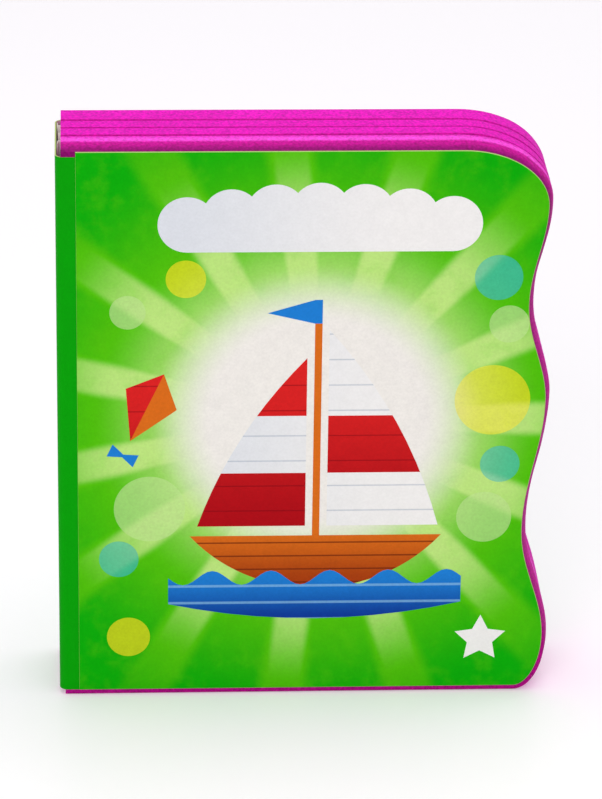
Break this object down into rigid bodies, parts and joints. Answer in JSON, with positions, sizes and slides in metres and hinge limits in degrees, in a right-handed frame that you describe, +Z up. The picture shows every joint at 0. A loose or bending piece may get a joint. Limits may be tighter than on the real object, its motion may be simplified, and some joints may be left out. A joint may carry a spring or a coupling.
{
  "type": "soft book",
  "caption": "Soft foam-board picture book standing upright, with a wavy fore-edge, a card cover sheet, a wrapped spine strip and covers that open.",
  "frame": {"origin": "middle of the underside of the closed book, on the surface it stands on", "axes": "+Z up along the height of the book, +X from the spine to the fore-edge, -Y out of the front cover"},
  "size_m": [0.1376, 0.0298, 0.165],
  "materials": {
    "foam": "matt closed-cell foam with a fine grain",
    "cover_print": "printed card with a soft sheen",
    "page_print": "printed paper with a soft sheen",
    "strip": "plain green coated paper",
    "ink_light_green": "printed card with a soft sheen",
    "ink_cream": "printed card with a soft sheen",
    "ink_pale_green": "printed card with a soft sheen",
    "ink_yellow": "printed card with a soft sheen",
    "ink_teal": "printed card with a soft sheen",
    "ink_white": "printed card with a soft sheen",
    "ink_orange": "printed card with a soft sheen",
    "ink_red": "printed card with a soft sheen",
    "ink_blue": "printed card with a soft sheen"
  },
  "bodies": {
    "pages": {"pages": "foam", "first_page": "page_print", "last_page": "page_print", "spine_strip": "strip"},
    "front_cover": {"front_board": "foam", "cover_sheet": "cover_print", "front_lining": "page_print", "front_strip": "strip", "print_rays": "ink_light_green", "print_glow": "ink_cream", "print_pale": "ink_pale_green", "print_yellow": "ink_yellow", "print_teal": "ink_teal", "print_white": "ink_white", "print_orange": "ink_orange", "print_red": "ink_red", "print_blue": "ink_blue"},
    "back_cover": {"back_board": "foam", "back_sheet": "cover_print", "back_lining": "page_print", "back_strip": "strip"}
  },
  "joints": [
    {"name": "front_cover_hinge", "type": "hinge", "parent": "pages", "child": "front_cover", "pos_m": [-0.06885, -0.0081, 0.0825], "axis": [0, 0, -1], "range_deg": [0, 180]},
    {"name": "back_cover_hinge", "type": "hinge", "parent": "pages", "child": "back_cover", "pos_m": [-0.06885, 0.0081, 0.0825], "axis": [0, 0, 1], "range_deg": [0, 180]}
  ]
}
